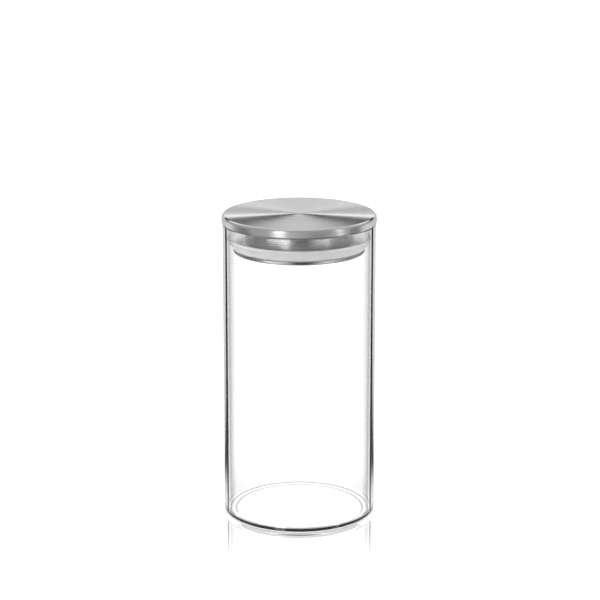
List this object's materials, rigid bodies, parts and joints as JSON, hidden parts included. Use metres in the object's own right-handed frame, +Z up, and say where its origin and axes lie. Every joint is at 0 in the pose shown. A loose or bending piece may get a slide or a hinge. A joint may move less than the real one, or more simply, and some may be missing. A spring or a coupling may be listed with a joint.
{
  "type": "lidded glass canister",
  "caption": "Straight clear glass storage jar with a flat brushed steel stopper lid, sealed in the mouth by a cupped silicone ring.",
  "frame": {"origin": "centre of the jar's foot, on the surface it stands on", "axes": "+Z up along the jar's axis, -Y towards the viewer, +X to the viewer's right"},
  "size_m": [0.0962, 0.0962, 0.1935],
  "materials": {
    "clear_glass": "clear, fire-polished borosilicate",
    "spun_steel": "spin brushed in rings",
    "neck_steel": "brushed around the drum",
    "pan_steel": "bright, lightly brushed",
    "screw_steel": "zinc plated",
    "milky_silicone": "translucent milky, satin",
    "white_plastic": "moulded, satin"
  },
  "bodies": {
    "jar": {"glass_jar": "clear_glass"},
    "seal": {"silicone_seal": "milky_silicone"},
    "lid": {"cap_shell": "spun_steel", "cap_insert": "white_plastic", "neck_drum": "neck_steel", "plug_core": "white_plastic", "base_pan": "pan_steel", "core_screws": "screw_steel"}
  },
  "joints": [
    {"name": "lid_lift", "type": "slide", "parent": "jar", "child": "seal", "axis": [0, 0, 1], "range_m": [0, 0.04]},
    {"name": "lid_turn", "type": "hinge", "parent": "seal", "child": "lid", "pos_m": [0, 0, 0.172], "axis": [0, 0, 1], "continuous": true}
  ]
}
